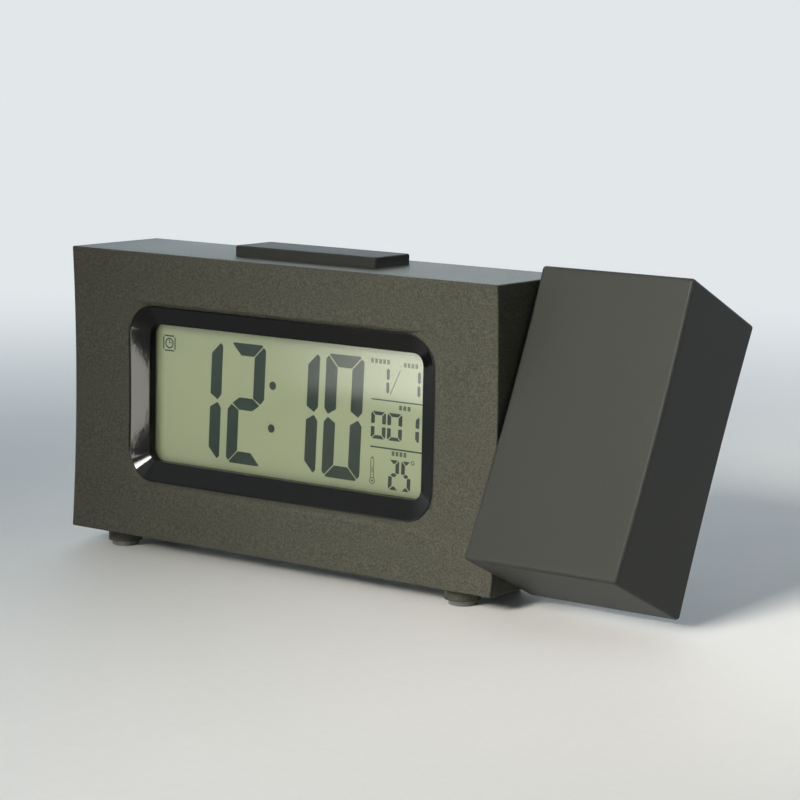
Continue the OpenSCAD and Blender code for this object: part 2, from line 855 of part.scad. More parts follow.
module controller_blob() {
  color("black") in_body() translate([blob_x, board_rear, blob_z]) rotate([-90, 0, 0])
    cap(blob_d, blob_h);
}

module at_crystal_legs() {
  for (sx = [-1, 1]) translate([crystal_x + sx * crystal_d / 5, 0, blob_z - crystal_bend])
    children();
}

module at_thermistor_legs() {
  for (sx = [-1, 1]) translate([vent_x + sx * bead_d / 4, 0, thermistor_z]) children();
}

module crystal_can() {
  color("silver") in_body() {
    translate([crystal_x, board_rear + crystal_d / 2, blob_z]) rod_z(0, crystal_l, crystal_d);
    at_crystal_legs() {
      rod_y(board_y, board_rear + crystal_d / 2, crystal_leg);
      translate([0, board_rear + crystal_d / 2, 0]) rod_z(0, crystal_bend + eps, crystal_leg);
    }
  }
}

module chip_parts() {
  color([0.25, 0.22, 0.18]) in_body() for (row = [0:1], i = [0:5])
    translate([blob_x - 12 + i * chip_pitch, board_rear, blob_z - 16 - row * chip_pitch])
      block([-1, 0, -0.6], [1, 0.6, 0.6]);
}

module thermistor() {
  color("darkolivegreen") in_body() {
    translate([vent_x, board_rear + bead_out, thermistor_z]) sphere(d = bead_d);
    at_thermistor_legs() rod_y(board_y, board_rear + bead_out, crystal_leg);
  }
}

module buzzer() {
  color("black") in_body() translate([buzzer_x, 0, buzzer_z])
    rod_y(rear_in - buzzer_t, rear_in, buzzer_d);
}

// ---- Snooze bar ----

module at_snooze() { translate([snooze_x, snooze_y, 0]) children(); }

module snooze_bar() {
  roof = body_h + snooze_proud - snooze_skin;
  color([0.2, 0.2, 0.19]) in_body() {
    at_snooze() difference() {
      union() {
        translate([0, 0, snooze_flange_z]) linear_extrude(body_h + snooze_proud - snooze_flange_z)
          rounded(snooze_w, snooze_d, snooze_r);
        translate([0, 0, snooze_flange_z]) linear_extrude(snooze_flange_t)
          rounded(snooze_w + 2 * snooze_flange, snooze_d + 2 * snooze_flange, snooze_r);
      }
      translate([0, 0, snooze_flange_z - eps]) linear_extrude(roof - snooze_flange_z + eps)
        square([snooze_w - 2 * snooze_skin, snooze_d - 2 * snooze_skin], center = true);
    }
    at_snooze_springs() rod_z(snooze_flange_z, roof + eps, spring_d + 1);
    translate([snooze_x, switch_y, 0]) rod_z(stem_z, roof + eps, plunger_d);
  }
}

module at_snooze_springs() {
  for (sx = [-1, 1]) translate([snooze_x + sx * spring_x, snooze_y, 0]) children();
}

module snooze_springs() {
  color("silver") in_body() at_snooze_springs() translate([0, 0, cradle_top])
    coil(spring_d, spring_wire, snooze_flange_z - cradle_top, spring_turns);
}

module snooze_cradle() {
  color([0.2, 0.2, 0.2]) in_body() difference() {
    at_snooze() block([-cradle_half_w, -cradle_d / 2, cradle_z],
      [cradle_half_w, cradle_d / 2, cradle_top]);
    at_cradle_posts() rod_z(0, far, shank_d + 4 * fit);
    translate([snooze_x, switch_y, 0]) rod_z(0, far, plunger_d + 2 * cradle_gap);
  }
}

module switch_body(high, travel) {
  difference() {
    block([-switch_w / 2, -switch_d / 2, -high], [switch_w / 2, switch_d / 2, 0]);
    rod_z(-plunger_sunk - travel - switch_slack, far, plunger_d + 2 * run_fit);
  }
}

module snooze_switch() {
  color("dimgray") in_body() translate([snooze_x, switch_y, board_top])
    switch_body(switch_w, snooze_travel);
}

module snooze_plunger() {
  color("beige") in_body() translate([snooze_x, switch_y, board_top])
    rod_z(-plunger_sunk, stem_z - board_top, plunger_d);
}

// ---- Rear keys and alarm slide ----

module key_board() {
  color("darkgreen") in_body() difference() {
    block([key_first - key_w / 2 - key_board_rim, key_board_y, standoff_z - key_board_rim],
      [alarm_x + alarm_switch_w / 2 + key_board_rim, key_board_rear,
        key_z + key_h / 2 + key_board_rim / 2]);
    at_standoffs() rod_y(0, far, shank_d + 4 * fit);
  }
}

module key_switches() {
  color("dimgray") in_body() at_keys() translate([0, key_board_rear + key_switch_h, 0])
    rotate([-90, 0, 0]) switch_body(key_switch_h, key_travel);
}

// One key; i counts from the left seen from the front
module key(i) {
  color([0.2, 0.2, 0.2]) in_body() translate([key_first + i * key_pitch, 0, key_z]) {
    slab(key_flange_in, body_d + key_proud) capsule(key_w, key_h);
    slab(key_flange_in, key_flange_out) capsule(key_w + 2 * key_flange, key_h + 2 * key_flange);
  }
}

module plunger(i) {
  color("beige") in_body() translate([key_first + i * key_pitch, 0, key_z])
    rod_y(key_board_rear + key_switch_h - plunger_sunk, key_flange_in, plunger_d);
}

module mode_key() { key(3); }
module mode_plunger() { plunger(3); }
module set_key() { key(2); }
module set_plunger() { plunger(2); }
module up_key() { key(1); }
module up_plunger() { plunger(1); }
module down_key() { key(0); }
module down_plunger() { plunger(0); }

module alarm_switch() {
  top_y = key_board_rear + alarm_switch_d;
  color("silver") in_body() translate([alarm_x, 0, key_z]) difference() {
    block([-alarm_switch_w / 2, key_board_rear, -alarm_knob_h], [alarm_switch_w / 2, top_y,
      alarm_knob_h]);
    block([-(peg_w + alarm_travel) / 2 - slide_fit, top_y - peg_sunk - slide_fit,
      -peg_h / 2 - slide_fit], [(peg_w + alarm_travel) / 2 + slide_fit, far, peg_h / 2 + slide_fit]);
  }
}

module alarm_knob() {
  top_y = key_board_rear + alarm_switch_d;
  reach = alarm_knob_w / 2 + alarm_travel + slide_fit + 0.8;
  color([0.2, 0.2, 0.2]) in_body() translate([alarm_x - alarm_travel / 2, 0, key_z]) {
    block([-alarm_knob_w / 2, key_flange_in, -alarm_knob_h / 2],
      [alarm_knob_w / 2, body_d + key_proud, alarm_knob_h / 2]);
    block([-reach, key_flange_in, -alarm_knob_h / 2 - key_flange],
      [reach, key_flange_out, alarm_knob_h / 2 + key_flange]);
    block([-peg_w / 2, top_y - peg_sunk, -peg_h / 2],
      [peg_w / 2, key_flange_in + eps, peg_h / 2]);
  }
}

// ---- Leads in the body ----

module battery_leads() {
  start_y = tray_floor - tray_skin - tab_reach;
  color("firebrick") in_body() at_tabs() translate([plate_t / 2, 0, 0])
    wire_run([[0, start_y, 0], [0, start_y - 2, 0], [0, start_y - 2, lead_rise],
      [0, board_rear, lead_rise]], wire_d, wire_bend);
}

module key_leads() {
  middle = (key_board_y + board_rear) / 2;
  color("gray") in_body() for (i = [0:5]) translate([key_lead_x + i * key_lead_pitch, 0, 0])
    wire_run([[0, key_board_y, standoff_z + 1], [0, middle, standoff_z + 1],
      [0, middle, standoff_z - key_lead_drop], [0, board_rear, standoff_z - key_lead_drop]],
      wire_d, wire_bend);
}

module buzzer_leads() {
  start_y = rear_in - buzzer_t;
  middle = (start_y + board_rear) / 2;
  color("firebrick") in_body() for (sx = [-1, 1])
    translate([buzzer_x + sx * wire_d * 2, 0, buzzer_z])
      wire_run([[0, start_y, 0], [0, middle, 0], [0, middle, lead_rise / 2],
        [0, board_rear, lead_rise / 2]], wire_d, wire_bend);
}

module pivot_lead() {
  color([0.1, 0.1, 0.1]) in_body() wire_run([[pivot_lead_x, board_rear, pivot_z - lead_rise],
    [pivot_lead_x, pivot_y, pivot_z - lead_rise], [pivot_lead_x, pivot_y, pivot_z],
    [arm_x + lead_meet, pivot_y, pivot_z]], pivot_lead_d, lead_bend);
}

module friction_washer() {
  color("gold") in_body() at_pivot() difference() {
    rod_x(washer_x, washer_x + washer_t, bearing_d - 1);
    rod_x(washer_x - 1, washer_x + washer_t + 1, pivot_d + 2 * run_fit);
  }
}

// ---- Projector arm ----

module arm_block(x0, x1) {
  translate([x0, -arm_d / 2, -arm_l / 2]) rotate([90, 0, 90]) linear_extrude(x1 - x0)
    hollowed_side(arm_d, arm_l, arm_front_dish, arm_rear_dish, arm_corner);
}

module at_arm_posts() { for (y = arm_post_y, z = arm_post_z) translate([0, y, z]) children(); }

module at_ears() {
  for (sy = [-1, 1]) translate([0, sy * ear_y, ear_z + ear_h / 2]) children();
}

module at_optics() { translate([optics_x, 0, 0]) children(); }

module arm_inside(gap) {
  block([-far, arm_front_in + gap, -arm_end_in + gap], [arm_side_in, arm_rear_in - gap,
    arm_end_in - gap]);
}

module arm_shell() {
  color([0.26, 0.265, 0.255]) in_arm() difference() {
    union() {
      difference() {
        arm_block(0, arm_w);
        arm_inside(0);
      }
      at_arm_posts() rod_x(arm_cover_t, arm_side_in + eps, arm_post_d);
      at_ears() rod_x(optics_x + ear_t, arm_side_in + eps, ear_boss_d);
    }
    at_arm_posts() rod_x(0, arm_cover_t + shank_l, shank_d + 2 * run_fit);
    at_ears() rod_x(optics_x, optics_x + shank_l + 0.5, shank_d + 2 * run_fit);
    at_optics() rod_z(arm_end_in - eps, far, ring_d + 2 * run_fit);
  }
}

module arm_cover() {
  color([0.24, 0.245, 0.24]) in_arm() difference() {
    union() {
      intersection() {
        arm_inside(slide_fit);
        block([0, -far, -far], [arm_cover_t, far, far]);
      }
      rod_x(run_fit - arm_gap, eps, shoulder_d);
      rod_x(retainer_x - arm_x, eps, pivot_d);
    }
    rod_x(-far, far, pivot_bore);
    at_arm_posts() {
      rod_x(-far, far, shank_d + 4 * fit);
      rod_x(-far, arm_head_drop, head_d + 4 * fit);
    }
    at_tube_screws() rod_x(retainer_x - arm_x - eps, retainer_x - arm_x + tube_screw_l,
      tube_screw_d + 2 * run_fit);
  }
}

module arm_screws() {
  color("silver") in_arm() {
    at_arm_posts() translate([arm_head_drop, 0, 0]) rotate([0, -90, 0]) small_screw();
    at_ears() translate([optics_x, 0, 0]) rotate([0, -90, 0]) small_screw();
  }
}

module at_tube_screws() {
  for (a = [90, 210, 330]) rotate([a, 0, 0]) translate([0, 0, tube_screw_r]) children();
}

module pivot_retainer() {
  right = retainer_x - arm_x;
  left = right - retainer_t;
  color("darkgray") in_arm() difference() {
    union() {
      rod_x(left, right, retainer_d);
      block([left, -stop_w / 2, -stop_out], [right, stop_w / 2, 0]);
    }
    rod_x(-far, far, pivot_bore);
    at_tube_screws() rod_x(-far, far, tube_screw_d + 4 * run_fit);
  }
}

module retainer_screws() {
  color("silver") in_arm() at_tube_screws()
    translate([retainer_x - arm_x - retainer_t, 0, 0]) rotate([0, -90, 0])
      screw(tube_screw_head_d, tube_screw_head_h, tube_screw_d, tube_screw_l + retainer_t - 0.5);
}

// ---- Projector ----

module at_stakes() { for (sy = [-1, 1]) translate([0, sy * stake_y, 0]) children(); }

module projector_housing() {
  slot_z = barrel_z - focus_travel - 1;
  stake_z = housing_bottom - led_board_t;
  color([0.12, 0.12, 0.125]) in_arm() at_optics() {
    difference() {
      union() {
        rod_z(housing_bottom, housing_top, housing_d);
        block([0, -ear_y - ear_boss_d / 2, ear_z],
          [ear_t, ear_y + ear_boss_d / 2, ear_z + ear_h]);
      }
      rod_z(slot_z, far, barrel_d + 2 * run_fit);
      rod_z(-far, far, tunnel_d);
      rod_z(-far, condenser_z, condenser_d + 2 * fit);
      block([-far, -image_w / 2 - fit, image_z - fit],
        [image_w / 2 + fit, image_w / 2 + fit, image_z + image_t + fit]);
      block([0, -key_rib_w / 2 - fit, slot_z], [key_rib_out + 0.3, key_rib_w / 2 + fit, far]);
      at_ears() rod_x(-far, far, shank_d + 4 * fit);
    }
    at_stakes() {
      rod_z(stake_z - eps, housing_bottom + eps, stake_d);
      rod_z(stake_z - stake_head, stake_z, stake_d + 1);
    }
  }
}

module led_board() {
  color("darkgreen") in_arm() at_optics() difference() {
    block([-led_board_x / 2, -stake_y - 2, housing_bottom - led_board_t],
      [led_board_x / 2, stake_y + 2, housing_bottom]);
    at_stakes() rod_z(-far, far, stake_d + 2 * fit);
  }
}

module projection_led() {
  dome_z = housing_bottom + led_l - led_d / 2;
  color([0.8, 0.2, 0.15]) in_arm() at_optics() {
    rod_z(housing_bottom, housing_bottom + 1, led_rim_d);
    rod_z(housing_bottom, dome_z, led_d);
    translate([0, 0, dome_z]) sphere(d = led_d);
  }
}

module condenser_lens() {
  color([0.85, 0.9, 0.95]) in_arm() at_optics() {
    rod_z(condenser_z - condenser_t, condenser_z, condenser_d);
    translate([0, 0, condenser_z - eps]) cap(tunnel_d - 0.2, condenser_bulge);
  }
}

module projection_lcd() {
  color([0.3, 0.33, 0.36]) in_arm() at_optics() block([-housing_d / 2, -image_w / 2, image_z],
    [image_w / 2, image_w / 2, image_z + image_t]);
}

// A flat ribbon to the image display, up the outside of its housing
module image_ribbon() {
  left = -housing_d / 2 - ribbon_gap - ribbon_t;
  at_optics() {
    block([left, -ribbon_w / 2, housing_bottom],
      [left + ribbon_t, ribbon_w / 2, image_z + image_t]);
    block([left, -ribbon_w / 2, image_z], [-housing_d / 2, ribbon_w / 2, image_z + image_t]);
  }
}

module projector_leads() {
  low = housing_bottom - led_board_t - 5;
  board_end = optics_x - led_board_x / 2 + 3;
  color([0.1, 0.1, 0.1]) in_arm() {
    wire_run([[lead_meet, 0, 0], [lead_drop_x, 0, 0], [lead_drop_x, 0, low],
      [board_end, 0, low], [board_end, 0, housing_bottom - led_board_t]], pivot_lead_d, lead_bend);
    image_ribbon();
  }
}

module focus_ring() {
  color([0.18, 0.18, 0.18]) in_arm() at_optics() difference() {
    union() {
      rod_z(ring_flange_z, ring_top, ring_d);
      rod_z(ring_flange_z, ring_flange_top, ring_flange_d);
    }
    rod_z(-far, far, barrel_d + 2 * run_fit);
    for (i = [0:ring_grips - 1]) rotate(360 * i / ring_grips)
      translate([ring_d / 2, 0, arm_l / 2 + 0.3]) cylinder(h = far, d = ring_grip_d, $fn = 12);
  }
}

module lens_barrel() {
  color([0.1, 0.1, 0.1]) in_arm() at_optics() difference() {
    union() {
      rod_z(barrel_z, barrel_top, barrel_d);
      block([0, -key_rib_w / 2, barrel_z], [key_rib_out, key_rib_w / 2, barrel_z + key_rib_l]);
    }
    rod_z(-far, far, optic_d - 2 * optic_rim);
    rod_z(optic_z, far, optic_d + 2 * run_fit);
  }
}

module projection_lens() {
  color([0.85, 0.9, 0.95]) in_arm() at_optics() translate([0, 0, optic_z]) {
    rod_z(0, optic_edge, optic_d);
    translate([0, 0, optic_edge - eps]) cap(optic_d, optic_bulge);
    translate([0, 0, eps]) mirror([0, 0, 1]) cap(optic_d - 2 * optic_rim - 0.2, optic_bulge);
  }
}

// ---- Drawing ----

front_shell();
rear_cover();
case_screws();
foot_pads();
display_bezel();
display_lens();
lcd_front_glass();
lcd_rear_glass();
light_guide();
reflector_sheet();
backlight_leds();
lcd_frame();
zebra_strip();
main_board();
board_screws();
controller_blob();
crystal_can();
chip_parts();
thermistor();
buzzer();
snooze_cradle();
snooze_springs();
snooze_switch();
key_board();
key_switches();
alarm_switch();
battery_cells();
battery_springs();
battery_plates();
battery_leads();
key_leads();
buzzer_leads();
pivot_lead();
friction_washer();
snooze_bar();
snooze_plunger();
mode_key();
mode_plunger();
set_key();
set_plunger();
up_key();
up_plunger();
down_key();
down_plunger();
alarm_knob();
battery_door();
arm_shell();
arm_cover();
arm_screws();
pivot_retainer();
retainer_screws();
projector_housing();
led_board();
projection_led();
condenser_lens();
projection_lcd();
projector_leads();
focus_ring();
lens_barrel();
projection_lens();
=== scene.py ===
import bpy
import bmesh
import json
import math
from mathutils import Matrix, Vector


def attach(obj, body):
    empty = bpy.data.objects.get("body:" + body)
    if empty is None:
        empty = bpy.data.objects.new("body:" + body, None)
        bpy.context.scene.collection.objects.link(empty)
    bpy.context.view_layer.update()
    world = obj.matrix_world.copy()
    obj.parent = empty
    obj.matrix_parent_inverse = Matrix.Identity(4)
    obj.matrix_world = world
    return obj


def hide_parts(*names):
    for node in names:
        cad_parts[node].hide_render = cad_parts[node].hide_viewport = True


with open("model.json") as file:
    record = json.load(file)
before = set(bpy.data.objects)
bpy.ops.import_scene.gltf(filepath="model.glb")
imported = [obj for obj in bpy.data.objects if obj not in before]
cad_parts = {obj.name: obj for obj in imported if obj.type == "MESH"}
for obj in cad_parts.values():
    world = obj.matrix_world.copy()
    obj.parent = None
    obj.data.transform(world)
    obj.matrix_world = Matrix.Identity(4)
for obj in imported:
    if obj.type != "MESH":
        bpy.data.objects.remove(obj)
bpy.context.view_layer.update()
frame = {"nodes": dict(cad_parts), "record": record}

MM = 0.001
NODES = frame["nodes"]
SLOT_OF = {row["node"]: row["material_slot"] for row in frame["record"]["subparts"]}

# Main sizes of the clock, in millimetres in the body's own frame: x from the body's middle,
# y from its front edges, z from its bottom
BODY_W, BODY_H, BODY_D = 144.0, 80.0, 36.0
FRONT_DISH, REAR_DISH = 1.45, 1.0
WINDOW_W, WINDOW_H, WINDOW_R = 93.2, 38.6, 3.2
WINDOW_X, WINDOW_Z = 0.5, 40.65
BAND, LIP_Y, LENS_Y = 5.4, 3.7, 6.2
GLASS_Y, GLASS_T = 7.3, 1.4
ARM_W, ARM_L, ARM_D, ARM_TILT = 44.5, 78.5, 35.0, 25.0
ARM_GAP, PIVOT_Z = 1.0, 41.0
BODY_X, FOOT_H = -22.75, 4.7
BODY_SHIFT = Vector((BODY_X, -BODY_D / 2, FOOT_H))
PIVOT = Vector((BODY_X + BODY_W / 2 + ARM_GAP, 0, FOOT_H + PIVOT_Z))
ARM_PLACE = Matrix.Translation(PIVOT * MM) @ Matrix.Rotation(math.radians(-ARM_TILT), 4, "X")

# The two rounded boxes: frame at the lower front edge, height, depth, and reach of a round edge
BODY_BOX = (Matrix.Translation(BODY_SHIFT * MM), BODY_H, BODY_D, 0.6)
ARM_BOX = (ARM_PLACE @ Matrix.Translation(Vector((0, -ARM_D / 2, -ARM_L / 2)) * MM), ARM_L, ARM_D,
           1.1)


# ---------------------------------------------------------------- nodes of the materials

def feed(tree, term, place):
    """Link an output to an input, or set the input to a number or a colour."""
    if isinstance(term, bpy.types.NodeSocket):
        tree.links.new(term, place)
    else:
        place.default_value = term


def maths(tree, operation, *terms):
    node = tree.nodes.new("ShaderNodeMath")
    node.operation = operation
    for place, term in zip(node.inputs, terms):
        feed(tree, term, place)
    return node.outputs[0]


def mixed(tree, factor, dark, light, way="MIX"):
    node = tree.nodes.new("ShaderNodeMix")
    node.data_type = "RGBA"
    node.blend_type = way
    for name, term in (("Factor", factor), ("A", dark), ("B", light)):
        feed(tree, term, node.inputs[name])
    return node.outputs["Result"]


def rescaled(tree, value, start=0.0, end=1.0, low=0.0, high=1.0, way="LINEAR"):
    """A value that goes from low to high while another one goes from start to end."""
    node = tree.nodes.new("ShaderNodeMapRange")
    node.interpolation_type = way
    for name, term in (("Value", value), ("From Min", start), ("From Max", end),
                       ("To Min", low), ("To Max", high)):
        feed(tree, term, node.inputs[name])
    return node.outputs["Result"]


def faded(tree, value, start, end, low=0.0):
    """A soft fade from low to 1."""
    return rescaled(tree, value, start, end, low, way="SMOOTHSTEP")


def shade(colour, gain):
    return tuple(min(1.0, c * gain) for c in colour[:3]) + (1.0,)


def grey(level):
    return (level, level, level, 1.0)


def srgb(r, g, b):
    """Linear colour of a screen colour from 0 to 255."""
    return tuple((c / 255 / 12.92) if c <= 10 else ((c / 255 + 0.055) / 1.055) ** 2.4
                 for c in (r, g, b)) + (1.0,)


# ---------------------------------------------------------------- grain, shared by the finishes

def socket(group, name, way, value=0.0):
    made = group.interface.new_socket(name=name, in_out=way, socket_type="NodeSocketFloat")
    made.default_value = value


def moulded_grain():
    """Spark grain and slow colour drift of moulded plastic, at sizes in millimetres."""
    group = bpy.data.node_groups.new("moulded_grain", "ShaderNodeTree")
    socket(group, "Grain Size", "INPUT", 0.3)
    socket(group, "Drift Size", "INPUT", 30.0)
    for name in ("Height", "Fleck", "Drift"):
        socket(group, name, "OUTPUT")
    inputs = group.nodes.new("NodeGroupInput").outputs
    outputs = group.nodes.new("NodeGroupOutput").inputs
    place = group.nodes.new("ShaderNodeTexCoord").outputs["Object"]
    pits = group.nodes.new("ShaderNodeTexVoronoi")
    pits.feature = "SMOOTH_F1"
    pits.inputs["Smoothness"].default_value = 0.6
    speckle = group.nodes.new("ShaderNodeTexNoise")
    speckle.inputs["Detail"].default_value = 3.0
    speckle.inputs["Roughness"].default_value = 0.65
    drift = group.nodes.new("ShaderNodeTexNoise")
    drift.inputs["Detail"].default_value = 2.0
    for textures, size in (((pits, speckle), "Grain Size"), ((drift,), "Drift Size")):
        scale = maths(group, "DIVIDE", 1 / MM, inputs[size])
        for texture in textures:
            feed(group, place, texture.inputs["Vector"])
            feed(group, scale, texture.inputs["Scale"])
    pit_share = 0.55
    feed(group, maths(group, "MULTIPLY_ADD", pits.outputs["Distance"], pit_share,
                      speckle.outputs["Fac"]), outputs["Height"])
    feed(group, rescaled(group, speckle.outputs["Fac"], start=0.35, end=0.68), outputs["Fleck"])
    feed(group, drift.outputs["Fac"], outputs["Drift"])
    return group


GRAIN = moulded_grain()


def grained(tree, grain, drift):
    """The outputs of the moulded grain, at its two sizes in millimetres."""
    node = tree.nodes.new("ShaderNodeGroup")
    node.node_tree = GRAIN
    node.inputs["Grain Size"].default_value = grain
    node.inputs["Drift Size"].default_value = drift
    return node.outputs


# ---------------------------------------------------------------- finishes

def blank(name):
    """A new material, its node tree and the inputs of its shader."""
    material = bpy.data.materials.new(name)
    material.use_nodes = True
    tree = material.node_tree
    return material, tree, tree.nodes["Principled BSDF"].inputs


def moulded(name, colour, grain=0.3, depth=0.02, spread=0.12, drift=0.08, drift_size=30.0,
            rough=(0.42, 0.55), gloss_level=0.5, metal=0.0):
    """A moulded, plated or painted surface: flecked colour, uneven gloss and a fine grain."""
    material, tree, shader = blank(name)
    surface = grained(tree, grain, drift_size)
    flecked = mixed(tree, surface["Fleck"], shade(colour, 1 - spread), shade(colour, 1 + spread))
    tint = mixed(tree, surface["Drift"], grey(1 - drift), grey(1 + drift))
    feed(tree, mixed(tree, 1.0, flecked, tint, way="MULTIPLY"), shader["Base Color"])
    feed(tree, rescaled(tree, surface["Drift"], low=rough[0], high=rough[1]), shader["Roughness"])
    if depth > 0:
        bump = tree.nodes.new("ShaderNodeBump")
        bump.inputs["Distance"].default_value = depth * MM
        bump.inputs["Strength"].default_value = 1.0
        feed(tree, surface["Height"], bump.inputs["Height"])
        feed(tree, bump.outputs["Normal"], shader["Normal"])
    shader["Specular IOR Level"].default_value = gloss_level
    shader["Metallic"].default_value = metal
    return material


def printing_ink(name, colour):
    """The dark liquid crystal of a figure or a mark."""
    return moulded(name, colour, grain=1.0, depth=0.0, spread=0.04, drift=0.04, rough=(0.5, 0.6),
                   gloss_level=0.1)


def clear(name, tint, rough, ior):
    """Clear moulded or polished optics with a faintly uneven surface."""
    material, tree, shader = blank(name)
    surface = grained(tree, grain=4.0, drift=22.0)
    uneven = 0.02
    feed(tree, mixed(tree, surface["Drift"], shade(tint, 0.97), tint), shader["Base Color"])
    feed(tree, rescaled(tree, surface["Drift"], low=rough, high=rough + uneven),
         shader["Roughness"])
    shader["Transmission Weight"].default_value = 1.0
    shader["IOR"].default_value = ior
    return material


def display_face():
    """Grey-green display face, with painted shade beside the surround's walls and a painted
    reflection that makes it paler at its upper right.
    """
    material, tree, shader = blank("display_face")
    centre = tree.nodes.new("ShaderNodeMapping")
    centre.vector_type = "POINT"
    centre.inputs["Location"].default_value = -(Vector((WINDOW_X, 0, WINDOW_Z)) + BODY_SHIFT) * MM
    feed(tree, tree.nodes.new("ShaderNodeTexCoord").outputs["Object"], centre.inputs["Vector"])
    split = tree.nodes.new("ShaderNodeSeparateXYZ")
    feed(tree, centre.outputs["Vector"], split.inputs[0])
    across, up = split.outputs["X"], split.outputs["Z"]
    left, right, bottom = -WINDOW_W / 2 * MM, WINDOW_W / 2 * MM, -WINDOW_H / 2 * MM
    # Widths of the painted shade along the walls, then the span of the painted reflection
    left_shade, bottom_shade = 3.0 * MM, 2.6 * MM
    reflection_left, reflection_low, reflection_high = -10.0 * MM, -2.0 * MM, 14.0 * MM
    # Painted shade: the face darkens along its left and bottom edges, where the surround's walls
    # shade it
    lit = maths(tree, "MULTIPLY", faded(tree, across, left, left + left_shade, low=0.74),
                faded(tree, up, bottom, bottom + bottom_shade, low=0.80))
    # Painted reflection: the face pales towards its upper right, where the lens mirrors bright light
    pale = maths(tree, "MULTIPLY", faded(tree, across, reflection_left, right),
                 faded(tree, up, reflection_low, reflection_high))
    surface = grained(tree, grain=0.5, drift=40.0)
    tone = mixed(tree, surface["Drift"], srgb(178, 185, 147), srgb(184, 190, 155))
    # The painted reflection is mixed into the tone at the upper right, then the painted shade beside
    # the walls
    with_painted_reflection = mixed(tree, pale, tone, srgb(196, 202, 172))
    feed(tree, mixed(tree, lit, srgb(40, 46, 34), with_painted_reflection), shader["Base Color"])
    feed(tree, rescaled(tree, surface["Fleck"], low=0.45, high=0.55), shader["Roughness"])
    shader["Specular IOR Level"].default_value = 0.1
    return material


FINISH = {
    "body_plastic": moulded("body_spark_grain", srgb(60, 60, 51), grain=0.5, depth=0.06,
                            spread=0.4, drift=0.06, rough=(0.46, 0.54), gloss_level=0.18),
    "cover_plastic": moulded("cover_spark_grain", srgb(58, 58, 50), grain=0.5, depth=0.06,
                             spread=0.4, drift=0.06, rough=(0.46, 0.54), gloss_level=0.18),
    "arm_plastic": moulded("arm_satin", srgb(42, 44, 41), grain=0.25, depth=0.012, spread=0.08,
                           drift=0.04, rough=(0.46, 0.52), gloss_level=0.2),
    "key_plastic": moulded("key_satin", srgb(52, 52, 49), grain=0.2, depth=0.01, spread=0.06,
                           rough=(0.35, 0.45)),
    "snooze_plastic": moulded("snooze_satin", srgb(42, 43, 41), grain=0.25, depth=0.015,
                              spread=0.08, rough=(0.55, 0.65), gloss_level=0.15),
    "bezel_plastic": moulded("bezel_gloss", srgb(12, 12, 12), grain=6.0, depth=0.03,
                             spread=0.1, drift=0.05, drift_size=9.0, rough=(0.04, 0.1),
                             gloss_level=0.2),
    "frame_plastic": moulded("inner_black", srgb(24, 24, 24), grain=0.3, depth=0.01),
    "guide_plastic": moulded("light_guide_frosted", srgb(232, 236, 224), grain=0.5, depth=0.005,
                             spread=0.03, drift=0.02),
    "white_sheet": moulded("white_film", srgb(242, 242, 238), grain=0.4, depth=0.003,
                           spread=0.02, drift=0.02),
    "board": moulded("solder_mask", srgb(22, 84, 44), grain=1.2, depth=0.01, spread=0.2,
                     rough=(0.28, 0.4)),
    "resin": moulded("black_resin", srgb(14, 14, 14), grain=1.5, depth=0.02, spread=0.1,
                     rough=(0.15, 0.25)),
    "component": moulded("component_body", srgb(46, 42, 38), grain=0.3, depth=0.01),
    "elastomer": moulded("contact_elastomer", srgb(88, 88, 88), grain=0.4, depth=0.01,
                         rough=(0.6, 0.7)),
    "pad_rubber": moulded("foot_silicone", srgb(92, 94, 92), grain=0.6, depth=0.02,
                          spread=0.08, drift=0.1, rough=(0.3, 0.42)),
    "steel": moulded("zinc_steel", srgb(186, 186, 184), grain=0.5, depth=0.004, spread=0.08,
                     rough=(0.25, 0.4), metal=1.0),
    "black_steel": moulded("blackened_steel", srgb(40, 40, 41), grain=0.3, depth=0.006,
                           spread=0.12, rough=(0.35, 0.5), metal=1.0),
    "bronze": moulded("spring_bronze", srgb(200, 160, 92), grain=0.4, depth=0.004, spread=0.08,
                      rough=(0.25, 0.4), metal=1.0),
    "cell_jacket": moulded("cell_jacket", srgb(52, 66, 84), grain=2.0, depth=0.004,
                           spread=0.06, rough=(0.2, 0.3)),
    "wire_red": moulded("red_insulation", srgb(170, 30, 24), grain=0.5, depth=0.006),
    "wire_grey": moulded("grey_insulation", srgb(120, 120, 122), grain=0.5, depth=0.006),
    "wire_black": moulded("black_insulation", srgb(26, 26, 26), grain=0.5, depth=0.006),
    "led_white": moulded("lamp_white", srgb(236, 234, 214), grain=0.3, depth=0.004, spread=0.03,
                         drift=0.02),
    "led_red": moulded("lamp_red", srgb(190, 36, 26), grain=1.0, depth=0.0, spread=0.1,
                       rough=(0.08, 0.14)),
    "lcd_glass": moulded("glass_plate", srgb(150, 156, 124), grain=2.0, depth=0.0, spread=0.03,
                         drift=0.03, rough=(0.2, 0.25)),
    "image_glass": moulded("image_glass", srgb(66, 70, 76), grain=2.0, depth=0.0, spread=0.05,
                           rough=(0.08, 0.12)),
    "lens_plastic": clear("lens_clear", (0.97, 0.985, 0.97, 1.0), rough=0.03, ior=1.4),
    "optic": clear("optic_clear", (0.96, 0.98, 1.0, 1.0), rough=0.01, ior=1.5),
    "lcd_face": display_face(),
    "segment_ink": printing_ink("segment_ink", srgb(38, 55, 42)),
    "pale_ink": printing_ink("pale_ink", srgb(84, 100, 70)),
}

for node_name, solid in NODES.items():
    solid.data.materials.clear()
    solid.data.materials.append(FINISH[SLOT_OF[node_name]])


# ---------------------------------------------------------------- making pieces

